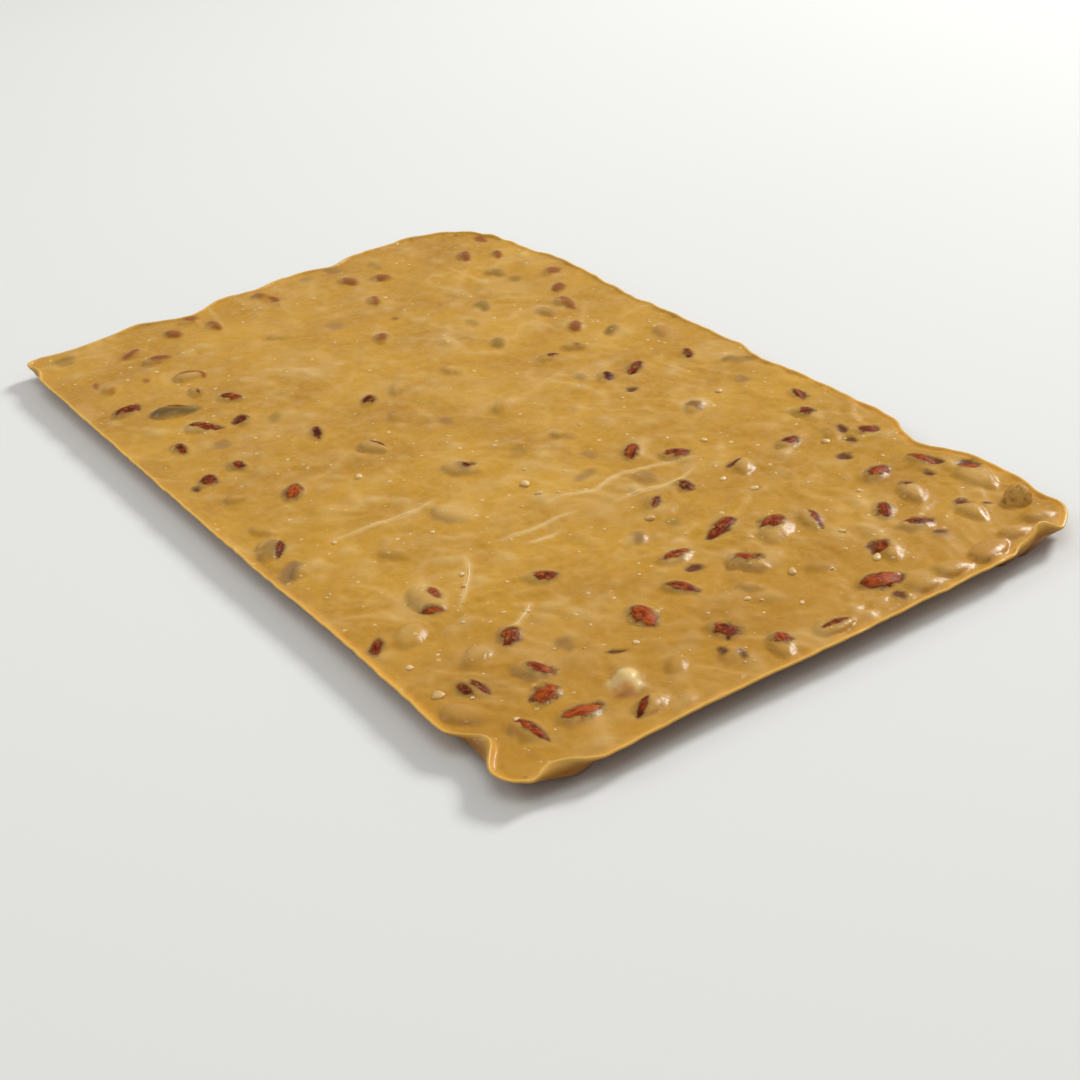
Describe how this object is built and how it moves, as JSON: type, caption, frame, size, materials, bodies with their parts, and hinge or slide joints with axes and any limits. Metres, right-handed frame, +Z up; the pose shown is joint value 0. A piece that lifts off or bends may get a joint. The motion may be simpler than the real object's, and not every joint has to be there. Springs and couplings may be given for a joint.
{
  "type": "caramel almond chocolate slab",
  "caption": "Poured rectangular slab of golden caramel chocolate, flat below, with a thin wavy lip and whole almonds sunk in its top.",
  "frame": {"origin": "middle of the flat underside, centre of the object's box", "axes": "+X along the slab's long side, +Y along its short side, +Z up out of the face with the almonds"},
  "size_m": [0.426, 0.253, 0.013],
  "materials": {
    "caramel_chocolate": "poured blond caramel chocolate, soft gloss, with pale trowel streaks and specks",
    "almond_skin": "roasted almond skin, mahogany, wrinkled lengthwise, filmed over with chocolate at its edges"
  },
  "bodies": {
    "root": {"slab": "caramel_chocolate", "almond_01": "almond_skin", "almond_02": "almond_skin", "almond_03": "almond_skin", "almond_04": "almond_skin", "almond_05": "almond_skin", "almond_06": "almond_skin", "almond_07": "almond_skin", "almond_08": "almond_skin", "almond_09": "almond_skin", "almond_10": "almond_skin", "almond_11": "almond_skin", "almond_12": "almond_skin", "almond_13": "almond_skin", "almond_14": "almond_skin", "almond_15": "almond_skin", "almond_16": "almond_skin", "almond_17": "almond_skin", "almond_18": "almond_skin", "almond_19": "almond_skin", "almond_20": "almond_skin", "almond_21": "almond_skin", "almond_22": "almond_skin", "almond_23": "almond_skin", "almond_24": "almond_skin", "almond_25": "almond_skin", "almond_26": "almond_skin", "almond_27": "almond_skin", "almond_28": "almond_skin", "almond_29": "almond_skin", "almond_30": "almond_skin", "almond_31": "almond_skin", "almond_32": "almond_skin", "almond_33": "almond_skin", "almond_34": "almond_skin", "almond_35": "almond_skin", "almond_36": "almond_skin", "almond_37": "almond_skin", "almond_38": "almond_skin", "almond_39": "almond_skin", "almond_40": "almond_skin", "almond_41": "almond_skin", "almond_42": "almond_skin", "almond_43": "almond_skin", "almond_44": "almond_skin", "almond_45": "almond_skin", "almond_46": "almond_skin", "almond_47": "almond_skin", "almond_48": "almond_skin", "almond_49": "almond_skin", "almond_50": "almond_skin", "almond_51": "almond_skin", "almond_52": "almond_skin", "almond_53": "almond_skin", "almond_54": "almond_skin", "almond_55": "almond_skin", "almond_56": "almond_skin", "almond_57": "almond_skin", "almond_58": "almond_skin", "almond_59": "almond_skin"}
  },
  "joints": []
}
